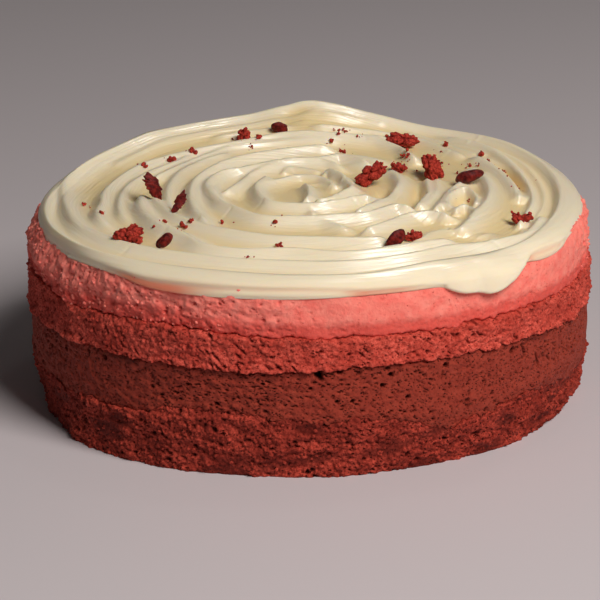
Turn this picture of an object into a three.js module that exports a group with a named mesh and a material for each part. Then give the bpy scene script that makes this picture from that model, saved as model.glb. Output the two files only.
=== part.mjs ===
// A whole round red velvet mousse cake. From the bottom up: a crumbly dark sponge, a dark
// mousse, a red sponge and a pink mousse, under cream that was spread on a turntable into
// one long swirl. Dried fruit and loose lumps of cake lie on the cream.
// Millimetres, +Z up. The origin is the centre of the flat underside. Angles are in degrees,
// anticlockwise seen from above, and 270 is the front.
import * as THREE from "three";
import { mergeVertices } from "three/addons/utils/BufferGeometryUtils.js";

// Driving dimensions
const FOOT_RADIUS = 83.4; // the stack where it stands
const SHOULDER_RADIUS = 86; // the stack where it is widest, high on the pink mousse
const SHOULDER_HEIGHT = 50;
const FOOT_SHIFT = -1; // the foot lies this far along X from the shoulder's centre
const RIM_RADIUS = 80.6; // crest of the cream's outermost turn
const CREAM_LEVEL = 63.4; // crests of the cream inside its rim
const SWIRL_PITCH = 12.9; // from one turn of the swirl to the next
const SWIRL_PHASE = -0.353; // turns, so that a crest meets the left side 75.5 mm out
const SWIRL_DEPTH = 2.7; // from crest to valley
const EDGE_ROUND = 3.2; // the pink mousse's rounded top edge
const GAP = 0.3; // left between pieces that lie on each other
const SEGMENTS = 72; // steps round the cake
const CORE_RADIUS = 58; // ring that splits each layer's flat faces
const CREAM_RINGS = 24; // steps from the rim to the middle of the cream

// The layers from the bottom up. top is the mean height of the layer's upper face, swells
// raise or lower that face's edge as [angle, half width, height], tilt is how far the face
// leans up at its edge and which way, and grain is how rough the side is.
const LAYERS = [
  {
    name: "sponge_base",
    color: 0x7d2a20,
    roughness: 0.95,
    top: 16.2,
    swells: [
      [252, 13, 4],
      [300, 7, -4.2],
      [345, 14, -3],
      [60, 18, 2.6],
      [135, 16, -2.4],
    ],
    tilt: { rise: 0, towards: 0 },
    grain: 0.9,
    bands: 5,
  },
  {
    name: "mousse_dark",
    color: 0x8a3328,
    roughness: 0.75,
    top: 32.6,
    swells: [
      [290, 22, 1.1],
      [205, 14, -1],
      [100, 30, 0.7],
    ],
    tilt: { rise: 0, towards: 0 },
    grain: 0.35,
    bands: 4,
  },
  {
    name: "sponge_upper",
    color: 0xb84438,
    roughness: 0.9,
    top: 42.8,
    swells: [
      [236, 8, 0.9],
      [198, 9, 1.3],
      [40, 14, 0.8],
    ],
    tilt: { rise: 0, towards: 0 },
    grain: 0.7,
    bands: 3,
  },
  {
    name: "mousse_pink",
    color: 0xee7569,
    roughness: 0.7,
    top: 57.8,
    swells: [
      [345, 20, 2.2],
      [185, 10, 1.4],
    ],
    tilt: { rise: 3.9, towards: 76 },
    grain: 0.4,
    bands: 4,
  },
];

// Height of the cream's rim by angle: low in front, a long hill at the back left, and the
// tail that was lifted where the palette knife left the cream.
const RIM_HEIGHTS = [
  [0, 62],
  [33, 63.8],
  [58, 65],
  [75, 68.7],
  [90, 72],
  [102, 67.8],
  [130, 68],
  [144, 64.2],
  [156, 61.3],
  [270, 60.7],
  [330, 61.3],
];

// How far the cream runs over the pink mousse's edge, along its surface, by angle.
// It hangs down as one broad lobe at the front right.
const DRAPE = [
  [0, 1.4],
  [50, 2.6],
  [120, 1.4],
  [150, 2.4],
  [180, 1.2],
  [289, 1.8],
  [301, 5.5],
  [308, 9],
  [313, 7.6],
  [323, 1.4],
];
const THINNEST = 1.5; // cream over the pink mousse in the deepest valley
const HANG_GAP = 0.6; // more room behind the edge of the drape
const LIP = 0.5; // thickness of the cream just above its lower edge
const DRAPE_THICKNESS = 2.4; // at most, halfway up the drape

// Dried fruit and crumb lumps on the cream. size is length, width and thickness, heading
// turns the length about the vertical, and lean tips it up.
const TOPPINGS = [
  { name: "dried_fruit_1", angle: 98, radius: 66, size: [5, 4.4, 4], heading: 5, lean: 0 },
  { name: "dried_fruit_2", angle: 233, radius: 69.5, size: [5.6, 4, 3.6], heading: 55, lean: 20 },
  { name: "dried_fruit_3", angle: 3, radius: 51.5, size: [8.4, 6, 3.6], heading: 12, lean: 8 },
  { name: "dried_fruit_4", angle: 292, radius: 64, size: [7, 3.6, 3], heading: 60, lean: 35 },
  { name: "dried_flake_1", angle: 189, radius: 47, size: [8.2, 4.4, 2], heading: 130, lean: 50 },
  { name: "dried_flake_2", angle: 213, radius: 45, size: [7, 3, 2], heading: 60, lean: 35 },
  { name: "crumb_lump_1", angle: 221, radius: 69, size: [7.6, 6, 4.6], heading: 10, lean: 0 },
  { name: "crumb_lump_2", angle: 20, radius: 21, size: [10.4, 5.2, 4.6], heading: 35, lean: 12 },
  { name: "crumb_lump_3", angle: 26, radius: 43, size: [8, 5.8, 4.6], heading: 100, lean: 25 },
  { name: "crumb_lump_4", angle: 60, radius: 62.8, size: [8.4, 7, 3.4], heading: 0, lean: 0 },
  { name: "crumb_lump_5", angle: 331, radius: 71.5, size: [6.2, 3.4, 2.6], heading: 170, lean: 0 },
  { name: "crumb_lump_6", angle: 44, radius: 40, size: [4.6, 3.4, 3.2], heading: 140, lean: 0 },
  { name: "crumb_lump_7", angle: 302, radius: 58, size: [4.8, 3, 2.4], heading: 20, lean: 0 },
  { name: "crumb_lump_8", angle: 109, radius: 63, size: [4.2, 3.8, 3.6], heading: 0, lean: 0 },
];
const FRUIT = { color: 0x5a1a1c, roughness: 0.55, wrinkle: 0.1 };
const CRUMB = { color: 0x9c3529, roughness: 0.95, wrinkle: 0.22 };

const radians = THREE.MathUtils.degToRad;
const smooth = (t) => THREE.MathUtils.smoothstep(t, 0, 1);
const mix = THREE.MathUtils.lerp;

// The shortest turn, in degrees, that takes one angle to the other.
function turnBetween(from, to) {
  return THREE.MathUtils.euclideanModulo(to - from + 180, 360) - 180;
}

// A smooth value round the cake through [angle, value] pairs, which go round in order.
function around(pairs, angle) {
  const after = pairs.findIndex(([at]) => at > angle);
  const next = pairs[after < 0 ? 0 : after];
  const last = pairs.at(after < 0 ? -1 : after - 1);
  const span = THREE.MathUtils.euclideanModulo(next[0] - last[0], 360);
  const gone = THREE.MathUtils.euclideanModulo(angle - last[0], 360);
  return mix(last[1], next[1], smooth(gone / span));
}

// Unevenness between -1 and 1 of a surface, periodic round the cake.
function grain(angle, height, salt) {
  const a = radians(angle);
  const broad = Math.sin(7 * a + 0.5 * height + salt);
  const middle = Math.sin(12 * a - 0.9 * height + 2 * salt);
  const fine = Math.sin(19 * a + 1.4 * height + 3 * salt);
  return (broad + middle + fine) / 3;
}

// Height of a layer's upper face.
function topHeight(layer, angle, radius) {
  const out = radius / SHOULDER_RADIUS;
  const { rise, towards } = layer.tilt;
  const lean = rise * Math.cos(radians(angle - towards)) * out ** 3;
  const swell = layer.swells.reduce(
    (sum, [at, width, height]) =>
      sum + height * Math.exp(-((turnBetween(at, angle) / width) ** 2)),
    0,
  );
  return layer.top + lean + swell * out ** 2;
}

// Outer radius of the stack at a height, before a layer's own grain.
function stackRadius(angle, height) {
  const up = smooth(height / SHOULDER_HEIGHT);
  const shift = FOOT_SHIFT * (1 - up) * Math.cos(radians(angle));
  return mix(FOOT_RADIUS, SHOULDER_RADIUS, up) + shift;
}

function sideRadius(layer, angle, height) {
  const salt = LAYERS.indexOf(layer);
  return stackRadius(angle, height) + layer.grain * grain(angle, height, salt);
}

const ANGLES = Array.from({ length: SEGMENTS }, (_, i) => (360 * i) / SEGMENTS);

// A ring of points round the cake. place gives [radius, height] at an angle.
function ring(place) {
  return ANGLES.map((angle) => {
    const [radius, height] = place(angle);
    const a = radians(angle);
    return [radius * Math.cos(a), radius * Math.sin(a), height];
  });
}

// A closed solid from a point on the axis, through rings that go outward, up and back in,
// to a second point on the axis.
function ringSolid(lowest, rings, highest) {
  const points = [[0, 0, lowest], ...rings.flat(), [0, 0, highest]];
  const last = points.length - 1;
  const at = (row, i) => 1 + row * SEGMENTS + (i % SEGMENTS);
  const faces = [];
  for (let i = 0; i < SEGMENTS; i += 1) {
    faces.push(0, at(0, i + 1), at(0, i));
    for (let row = 0; row < rings.length - 1; row += 1) {
      faces.push(at(row, i), at(row, i + 1), at(row + 1, i + 1));
      faces.push(at(row, i), at(row + 1, i + 1), at(row + 1, i));
    }
    faces.push(last, at(rings.length - 1, i), at(rings.length - 1, i + 1));
  }
  const geometry = new THREE.BufferGeometry();
  geometry.setAttribute("position", new THREE.Float32BufferAttribute(points.flat(), 3));
  geometry.setIndex(faces);
  return geometry;
}

function named(name, geometry, { color, roughness }) {
  const material = new THREE.MeshStandardMaterial({ color, roughness, metalness: 0 });
  const mesh = new THREE.Mesh(geometry, material);
  mesh.name = name;
  return mesh;
}

// One layer, resting on the layer below it or on the table.
function layerMesh(layer) {
  const below = LAYERS[LAYERS.indexOf(layer) - 1];
  const floor = (angle, radius) => (below ? topHeight(below, angle, radius) + GAP : 0);
  const isTopLayer = layer === LAYERS.at(-1);
  const inset = isTopLayer ? EDGE_ROUND : 0;
  const side = (angle, part) => {
    const low = floor(angle, SHOULDER_RADIUS);
    const height = mix(low, topHeight(layer, angle, SHOULDER_RADIUS) - inset, part);
    return [sideRadius(layer, angle, height), height];
  };
  const rings = [ring((angle) => [CORE_RADIUS, floor(angle, CORE_RADIUS)])];
  for (let band = 0; band <= layer.bands; band += 1) {
    rings.push(ring((angle) => side(angle, band / layer.bands)));
  }
  if (isTopLayer) {
    rings.push(ring((angle) => pinkSkin(angle, 0)));
  }
  rings.push(ring((angle) => [CORE_RADIUS, topHeight(layer, angle, CORE_RADIUS)]));
  const geometry = ringSolid(floor(0, 0), rings, topHeight(layer, 0, 0));
  return named(layer.name, geometry, layer);
}

// A point on the pink mousse as [radius, height], a way along its skin from the inner end
// of its rounded edge: over the edge first, then down the side.
const EDGE_WAY = EDGE_ROUND * Math.SQRT2;
function pinkSkin(angle, way) {
  const pink = LAYERS.at(-1);
  const top = topHeight(pink, angle, SHOULDER_RADIUS);
  const over = (Math.min(way, EDGE_WAY) / EDGE_WAY) * EDGE_ROUND;
  const down = Math.max(way - EDGE_WAY, 0);
  const side = sideRadius(pink, angle, top - EDGE_ROUND - down);
  return [side - EDGE_ROUND + over, top - over - down];
}

// Height of the cream's upper face, inside its rim. The pink mousse never shows through it.
function creamTop(angle, radius) {
  const pink = LAYERS.at(-1);
  const [edgeRadius, edgeHeight] = pinkSkin(angle, 0);
  const way = Math.max((radius - CORE_RADIUS) / (edgeRadius - CORE_RADIUS), 0);
  const covered = mix(topHeight(pink, angle, CORE_RADIUS), edgeHeight, way);
  const out = smooth((radius - CORE_RADIUS) / (RIM_RADIUS - CORE_RADIUS));
  const level = mix(CREAM_LEVEL, around(RIM_HEIGHTS, angle), out);
  const turns = radius / SWIRL_PITCH + angle / 360 + SWIRL_PHASE;
  const fade = smooth(radius / SWIRL_PITCH) * (1 - smooth((radius - RIM_RADIUS + 6) / 6));
  const valley = level - SWIRL_DEPTH * fade * Math.abs(Math.sin(Math.PI * turns));
  return Math.max(valley, covered + THINNEST);
}

// The cream: its underside follows the pink mousse and a little way over its edge, then the
// outer face rises to the rim, and the swirl fills the inside.
function creamMesh() {
  const pink = LAYERS.at(-1);
  const apart = (angle, way, thickness) => {
    const [radius, height] = pinkSkin(angle, way);
    const upward = way < EDGE_WAY ? thickness : 0;
    return [radius + thickness, height + upward];
  };
  const low = (angle) => around(DRAPE, angle);
  const thick = (angle) => Math.min(low(angle) / 2 + GAP, DRAPE_THICKNESS);
  const hang = (angle) => GAP + HANG_GAP * smooth(low(angle) / DRAPE_THICKNESS - 1);
  const rings = [
    ring((angle) => [CORE_RADIUS, topHeight(pink, angle, CORE_RADIUS) + GAP]),
    ring((angle) => apart(angle, 0, GAP)),
    ring((angle) => apart(angle, Math.min(low(angle) * 0.8, EDGE_WAY - 0.01), GAP)),
    ring((angle) => apart(angle, low(angle), hang(angle))),
    ring((angle) => apart(angle, low(angle) * 0.97, hang(angle) + LIP)),
    ring((angle) => apart(angle, low(angle) / 2, thick(angle))),
    ring((angle) => [RIM_RADIUS + LIP, around(RIM_HEIGHTS, angle) - LIP]),
  ];
  for (let step = 0; step < CREAM_RINGS; step += 1) {
    const radius = RIM_RADIUS * (1 - step / CREAM_RINGS);
    rings.push(ring((angle) => [radius, creamTop(angle, radius)]));
  }
  const geometry = ringSolid(topHeight(pink, 0, 0) + GAP, rings, creamTop(0, 0));
  return named("cream_swirl", geometry, { color: 0xeee2c2, roughness: 0.35 });
}

// Lowers a piece until it nearly touches the cream under one of its corners.
function settle(piece, cream) {
  piece.updateMatrixWorld(true);
  const corners = piece.geometry.attributes.position;
  const downward = new THREE.Raycaster();
  const corner = new THREE.Vector3();
  let room = Infinity;
  for (let i = 0; i < corners.count; i += 1) {
    corner.fromBufferAttribute(corners, i).applyMatrix4(piece.matrixWorld);
    downward.set(corner, new THREE.Vector3(0, 0, -1));
    const [under] = downward.intersectObject(cream);
    room = Math.min(room, under.distance);
  }
  piece.position.z -= room - GAP;
}

// A wrinkled lump of unit radius, its skin moved in and out by crossing waves.
function lumpGeometry(wrinkle, salt) {
  const ball = new THREE.IcosahedronGeometry(1, 1);
  ball.deleteAttribute("normal");
  ball.deleteAttribute("uv");
  const lump = mergeVertices(ball);
  const point = new THREE.Vector3();
  for (let i = 0; i < lump.attributes.position.count; i += 1) {
    point.fromBufferAttribute(lump.attributes.position, i);
    const wave = Math.sin(4 * point.x + salt) + Math.sin(5 * point.y + 2 * salt);
    const swell = 1 + (wrinkle * (wave + Math.sin(6 * point.z - salt))) / 2;
    lump.attributes.position.setXYZ(i, ...point.multiplyScalar(swell));
  }
  return lump;
}

const CLEAR_ABOVE = 90; // a height above all of the cream
function toppingMesh(topping, cream) {
  const look = topping.name.startsWith("crumb") ? CRUMB : FRUIT;
  const lump = lumpGeometry(look.wrinkle, 1 + TOPPINGS.indexOf(topping));
  lump.scale(...topping.size.map((across) => across / 2));
  const piece = named(topping.name, lump, look);
  const a = radians(topping.angle);
  piece.position.set(topping.radius * Math.cos(a), topping.radius * Math.sin(a), CLEAR_ABOVE);
  piece.rotation.set(0, -radians(topping.lean), radians(topping.heading), "ZYX");
  settle(piece, cream);
  return piece;
}

const cake = new THREE.Group();
cake.add(...LAYERS.map(layerMesh));
const cream = creamMesh();
cream.updateMatrixWorld(true);
cake.add(cream, ...TOPPINGS.map((topping) => toppingMesh(topping, cream)));
const middle = new THREE.Box3().setFromObject(cake).getCenter(new THREE.Vector3());
cake.position.set(-middle.x, -middle.y, 0);

export default cake;
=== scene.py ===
# %% [markdown]
# # Red velvet mousse cake
# A whole cake on a pale floor: crumbly dark sponge, dark mousse, rough red sponge and pink
# mousse, under cream that was spread into one long swirl. The CAD model gives the places and
# sizes, and each solid is replaced by a finer mesh with real pores, crumbs and sharp crests.

import math

import bmesh
import bpy
from mathutils import Euler, Matrix, Vector
import numpy as np


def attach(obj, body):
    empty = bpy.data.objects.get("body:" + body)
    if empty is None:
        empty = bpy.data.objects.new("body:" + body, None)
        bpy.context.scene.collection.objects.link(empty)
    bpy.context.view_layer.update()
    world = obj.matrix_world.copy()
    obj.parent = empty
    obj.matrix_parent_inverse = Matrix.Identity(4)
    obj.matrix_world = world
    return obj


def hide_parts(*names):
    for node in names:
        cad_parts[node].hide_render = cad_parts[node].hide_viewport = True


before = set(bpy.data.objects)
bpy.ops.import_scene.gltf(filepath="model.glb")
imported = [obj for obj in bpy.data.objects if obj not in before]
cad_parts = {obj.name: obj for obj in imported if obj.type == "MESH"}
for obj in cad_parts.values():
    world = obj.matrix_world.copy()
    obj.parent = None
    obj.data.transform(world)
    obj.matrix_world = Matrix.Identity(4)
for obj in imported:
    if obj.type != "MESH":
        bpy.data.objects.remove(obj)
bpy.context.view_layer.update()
MM = 0.001

# %% [markdown]
# ## Working with points
# Foam, crumb and smeared cream are too uneven to shape by hand. A mesh is modelled with
# Blender's own tools, and then all its points are moved at once by arithmetic. The first two
# helpers read and write them in millimetres.


# %% Read and write points
def points_of(piece):
    places = np.empty(3 * len(piece.data.vertices), np.float32)
    piece.data.vertices.foreach_get("co", places)
    return places.reshape(-1, 3).astype(float) / MM


def move_points(piece, places):
    piece.data.vertices.foreach_set("co", (places * MM).astype(np.float32).ravel())
    piece.data.update()


def ring_places(degrees, radius, height):
    a = np.radians(degrees)
    return np.stack([radius * np.cos(a), radius * np.sin(a), height], axis=1)


def polar(places):
    """Each place's angle in degrees, distance from the axis and, if it has one, height."""
    x, y, *height = places.T
    return np.degrees(np.arctan2(y, x)) % 360, np.hypot(x, y), *height


def keep_attribute(piece, name, values):
    """Stores one number for each point, which a material can read by its name."""
    layer = piece.data.attributes.new(name, "FLOAT", "POINT")
    layer.data.foreach_set("value", values.astype(np.float32))


def smooth(part):
    """0 before 0, 1 after 1, and a soft step between."""
    part = np.clip(part, 0, 1)
    return part * part * (3 - 2 * part)


def around(table, degrees):
    """A soft curve round the cake through the values that a table gives at its angles."""
    angles, values = np.array([*table.items()], float).T
    width = (np.roll(angles, -1) - angles - 1e-9) % 360
    slope = (np.roll(values, -1) - np.roll(values, 1)) / (width + np.roll(width, 1))
    at = (np.searchsorted(angles, degrees % 360, side="right") - 1) % len(angles)
    after = (at + 1) % len(angles)
    t = ((degrees - angles[at]) % 360) / width[at]
    level = values[at] * (1 + 2 * t) * (1 - t) ** 2 + values[after] * t * t * (3 - 2 * t)
    lean = slope[at] * t * (1 - t) ** 2 - slope[after] * t * t * (1 - t)
    return level + lean * width[at]


# %% [markdown]
# ## Unevenness that is the same each time
# Two kinds are enough for cake. Swells are soft random hills: each corner of a lattice of
# cubes has a number, and the space between is blended. Specks are scattered points, one in
# each cube, and the distance to the nearest makes pores and crumbs. The numbers come from
# whole-number arithmetic, so each run gives the same cake.


# %% Swells and specks
# The lattice is turned askew, so that its rows don't show as rows on the cake.
ASKEW = np.array(Euler((0.6, 0.9, 0.4)).to_matrix())


def lattice(cell, seed):
    """A number from 0 to 1 that belongs to a cube of the lattice."""
    mixed = cell[:, 0] * 73856093 ^ cell[:, 1] * 19349663 ^ cell[:, 2] * 83492791 ^ seed * 40503
    mixed = (mixed ^ (mixed >> 13)) * 1274126177 & 0x7FFFFFFF
    mixed = (mixed ^ (mixed >> 15)) * 2246822519 & 0x7FFFFFFF
    return ((mixed ^ (mixed >> 16)) & 0xFFFFF) / 0xFFFFF


def swells(places, size, seed):
    """Soft random hills from -1 to 1. size is their width, one number or three."""
    places = places / size @ ASKEW
    corner = np.floor(places).astype(np.int64)
    part = smooth(places - corner)
    total = np.zeros(len(places))
    for step in np.ndindex(2, 2, 2):
        share = np.prod(np.where(step, part, 1 - part), axis=1)
        total += share * lattice(corner + step, seed)
    return 2 * total - 1


def specks(places, size, seed):
    """Distance to the nearest scattered point, in sizes, and that point's own number."""
    places = places / size @ ASKEW
    home = np.floor(places).astype(np.int64)
    nearest = np.full(len(places), np.inf)
    own = np.zeros(len(places))
    for step in np.ndindex(3, 3, 3):
        cell = home + step - 1
        spot = cell + np.stack([lattice(cell, seed + axis) for axis in (1, 2, 3)], axis=1)
        away = np.linalg.norm(places - spot, axis=1)
        own = np.where(away < nearest, lattice(cell, seed), own)
        nearest = np.minimum(away, nearest)
    return nearest, own


def pores(places, size, share, widest, seed):
    """How far into a pore each place is, from 0 to 1. share of the specks are pores."""
    away, own = specks(places, size, seed)
    radius = np.where(own < share, widest * (0.35 + 0.65 * own / share), 1e-9)
    return smooth((radius - away) / (0.75 * radius))


# %% [markdown]
# ## A drum for each layer
# A drum is a cylinder whose upright edges are cut into rows, all in one step, and whose two
# faces are inset ring by ring, close together near the edge, where the shape is rounded. A
# last poke closes each face with a fan. Spinning a profile would take half a minute.

# %% Model a drum
STEPS = 1600  # round the cake, so that points are a third of a millimetre apart
DRUM_RADIUS = 80
EDGE_RINGS = (0.4, 0.5, 0.8, 1.5, 2.6, 6)  # each ring's width, from the edge inward


def select(kind, wanted):
    """In edit mode, selects the edges or faces that are wanted, and nothing else."""
    mesh = bpy.context.object.data
    bpy.ops.mesh.select_mode(type=kind)
    bpy.ops.mesh.select_all(action="DESELECT")
    shape = bmesh.from_edit_mesh(mesh)
    for part in shape.edges if kind == "EDGE" else shape.faces:
        part.select_set(bool(wanted(part)))
    bmesh.update_edit_mesh(mesh)


def is_upright(edge):
    return abs(edge.verts[0].co.z - edge.verts[1].co.z) > MM / 2


def is_level(face):
    return abs(face.normal.z) > 0.9


def drum(name, rows):
    """A drum one millimetre high, with so many rows of faces up its side."""
    bpy.ops.object.select_all(action="DESELECT")
    bpy.ops.mesh.primitive_cylinder_add(
        vertices=STEPS, radius=DRUM_RADIUS * MM, depth=MM, location=(0, 0, MM / 2)
    )
    bpy.ops.object.transform_apply(location=True, rotation=False, scale=False)
    piece = bpy.context.object
    piece.name = name
    bpy.ops.object.mode_set(mode="EDIT")
    select("EDGE", is_upright)
    bpy.ops.mesh.subdivide(number_cuts=rows - 1)
    select("FACE", is_level)
    for width in EDGE_RINGS:
        bpy.ops.mesh.inset(thickness=width * MM, use_even_offset=True)
    bpy.ops.mesh.poke()
    bpy.ops.object.mode_set(mode="OBJECT")
    piece.data.shade_smooth()
    print(name, len(piece.data.polygons), "faces")
    return piece


# %% [markdown]
# ## Where the layers meet
# The boundaries wander by a few millimetres, because sponge is torn and mousse was poured on
# it. The side is almost upright, and its lowest part is worn in, as crumbs fall off there
# whenever the cake is moved.

# %% The stack
SHOULDER_RADIUS = 86
FOOT_RADIUS = {
    0: 83.3, 60: 83, 120: 83, 180: 82.2, 189: 82.2, 196: 82.2, 202: 82.8, 210: 84.4, 220: 85.4, 228: 85.5,
    236: 84.8, 248: 84.6, 258: 83.4, 278: 82.7, 288: 82.2, 300: 82, 312: 82.4, 328: 81, 345: 81,
}
FOOT_REACH = 18  # the foot is worn in up to this height
BASE_TOP = {
    0: 14, 60: 18, 100: 16, 135: 14, 170: 16, 207: 15.2, 225: 15.5, 235: 16.9, 246: 19.5, 256: 20,
    266: 17.6, 286: 16.8, 299: 12.1, 311: 14.8, 324: 15.4, 341: 13.2,
}
DARK_TOP = {
    40: 33.4, 100: 33, 170: 32, 201: 31.5, 235: 32.5, 262: 32.4, 286: 33.8, 301: 33.7, 313: 33.3,
    335: 32.5,
}
UPPER_TOP = {40: 43.4, 120: 42.6, 198: 44, 217: 42.6, 236: 43.8, 266: 42.3, 301: 42.2, 335: 42.6}
PINK_TOP = {
    30: 60.4, 76: 61, 120: 60, 160: 58.2, 178: 57.2, 190: 56.8, 198: 56.2, 205: 55.5, 212: 55.1, 222: 55.6,
    230: 56.4, 240: 56.6, 296: 56.6, 302: 55.5, 312: 55.5, 322: 57.6, 340: 58.4, 350: 58.5,
}
# how far the pink mousse's top edge is rounded in
ROUND_OVER = {
    0: 1.4, 15: 1.6, 60: 2.6, 160: 3, 195: 3.4, 222: 2.2, 240: 0.8, 300: 0.8, 318: 1.4, 330: 1.6, 345: 1.4,
}
ROUND_REACH = 6  # and from how far below its top
# how far the side is hollowed between the foot and the shoulder
WAIST = {0: 0, 150: 0, 180: 0.4, 205: 0.5, 222: 0, 330: 0}
WAIST_TOP = 46
WAIST_FADE = 12


def stack_radius(degrees, height):
    worn = np.clip(1 - height / FOOT_REACH, 0, 1) ** 1.2
    over = np.clip(1 - (around(PINK_TOP, degrees) - height) / ROUND_REACH, 0, 1.3)
    straight = SHOULDER_RADIUS + (around(FOOT_RADIUS, degrees) - SHOULDER_RADIUS) * worn
    waist = around(WAIST, degrees) * smooth((WAIST_TOP - height) / WAIST_FADE)
    return straight - waist - around(ROUND_OVER, degrees) * over**1.7


for table in (BASE_TOP, DARK_TOP, UPPER_TOP, PINK_TOP):
    print("a layer ends between", min(table.values()), "and", max(table.values()), "mm")

# %% [markdown]
# ## One layer
# The points of a drum are put between the layer's lower and upper boundary, pulled in a
# little at both edges so that a dark crease is left between layers, and moved in and out by
# the layer's own relief. Inside, where nothing is seen, the faces level out.

# %% Make a layer
CREASE_REACH = 1


def layer(name, low, high, rows, relief, creases, ragged, core_top):
    """low and high are boundaries. relief gives millimetres outward and how deep in a pore."""
    piece = drum(name, rows)
    degrees, reach, part = polar(points_of(piece))
    inset = np.maximum(DRUM_RADIUS - reach, 0)
    seam = ring_places(degrees, SHOULDER_RADIUS, 0 * part)
    fray = swells(seam, 4.5, 5) + 0.8 * swells(seam, 1.7, 6) + 0.5 * swells(seam, 0.8, 7)
    base = around(low, degrees) + ragged[0](degrees) * fray
    top = around(high, degrees) + ragged[1](degrees) * fray
    height = base + (top - base) * part
    smooth_place = ring_places(degrees, stack_radius(degrees, height), height)
    out, hollow = relief(smooth_place, degrees, height, base, top)
    pull = creases[0] * (1 - np.clip((height - base) / CREASE_REACH, 0, 1)) ** 2
    pull += creases[1] * (1 - np.clip((top - height) / CREASE_REACH, 0, 1)) ** 2
    pull *= 0.9 + 0.9 * swells(seam, 6, 8) + 0.5 * swells(seam, 2, 9) + 0.9 * swells(seam, 1.1, 10)
    fade = 1 - smooth(inset / 3)
    radius = stack_radius(degrees, height) + (out - pull) * fade - inset
    inner = smooth(inset / 12)
    height = height * (1 - inner) + inner * np.where(part > 0.5, core_top, np.mean(base))
    centre = inset > DRUM_RADIUS - 0.01
    radius[centre] = 0
    move_points(piece, ring_places(degrees, radius, height))
    # hollow says how far each point lies in a pore, hole or darker patch; the finishes colour it towards
    # their pore colour, which in pores and holes is painted shade.
    keep_attribute(piece, "hollow", hollow * fade)
    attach(piece, "root")
    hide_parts(name)
    return piece


# %% [markdown]
# ## The four layers
# The reliefs are what tells sponge from mousse. Sponge is made of crumbs with torn gaps, so
# its side is lumpy all over, with pores between. Mousse is a set foam: nearly smooth, with
# round bubbles and a few larger holes that were wiped open by the ring it was moulded in.


# %% Reliefs
def even(value):
    """The same raggedness all the way round."""
    return lambda degrees: value


def patch(degrees, heading, edge, fade):
    """1 on the side that heading points to, from 0 where the cosine of the turn is edge."""
    return smooth((np.cos(np.radians(degrees - heading)) - edge) / fade)


def pink_tear(degrees):
    """1 where the pink mousse was torn as the ring came off, 0 where it is smooth."""
    return np.maximum(patch(degrees, 195, 0.15, 0.6), patch(degrees, 5, 0.86, 0.1))


def pink_fray(degrees):
    """How ragged the pink mousse's top edge is: only where the cream stops short of it."""
    return np.maximum(patch(degrees, 187, 0.9, 0.07), patch(degrees, 5, 0.86, 0.1))


def crumbs(places, size, seed):
    """Rounded lumps with creases between, from about -0.5 to 0.5."""
    away, own = specks(places, size, seed)
    return 0.55 - away + 0.5 * (own - 0.5)


def base_relief(places, degrees, height, base, top):
    out = 0.9 * swells(places, (14, 14, 6), 11) + 0.7 * swells(places, (4.5, 4.5, 2.6), 12)
    out += 0.9 * crumbs(places, (3, 3, 1.9), 13) + 0.9 * crumbs(places, (1.5, 1.5, 1), 14)
    pressed = smooth(2.4 * swells(places, (11, 11, 4), 17) - 0.5)
    gaps = pores(places, (3.2, 3.2, 2), 0.6, 0.42, 15)
    small = pores(places, (1.5, 1.5, 1), 0.7, 0.46, 16)
    tiny = pores(places, (0.9, 0.9, 0.7), 0.5, 0.48, 18)
    hollow = np.max([gaps, 0.85 * small, 0.6 * tiny], axis=0) * (1 - pressed)
    out = (out - 1.6 * gaps - 0.9 * small - 0.3 * tiny) * (1 - 0.7 * pressed) - 0.5 * pressed
    return out, np.maximum(hollow, 0.55 * pressed)


# (angle, height, half width, depth) of the large holes in the dark mousse
HOLES = [
    (271.5, 31.6, 1.2, 3), (285.7, 30.5, 0.9, 2), (283.9, 27.5, 0.9, 2), (288.9, 23.4, 0.9, 2),
    (296.8, 31.2, 1, 2.5), (277.9, 23.4, 0.6, 1), (275, 23.6, 0.6, 1), (270, 27.7, 0.6, 1),
    (284.9, 32.5, 0.8, 1), (275.6, 32.4, 0.9, 1), (226, 30, 1.1, 2.5), (213, 28, 0.9, 2),
    (221, 30.5, 0.6, 1.5), (205, 30, 0.7, 1), (313, 30.8, 1.3, 3), (316, 27.5, 0.6, 1),
    (252, 22, 0.7, 1), (246, 27, 0.6, 1), (261, 29, 0.6, 1), (238, 24.5, 0.7, 1),
]
# (angle, height, lean, half length, depth) of the slits there
SLITS = [(316.5, 29.6, 0.3, 2, 1.2), (321, 25, 0.4, 2.2, 1.6), (325, 24, 0.8, 1, 0.8)]
ARC = math.radians(1) * SHOULDER_RADIUS  # millimetres to a degree


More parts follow.
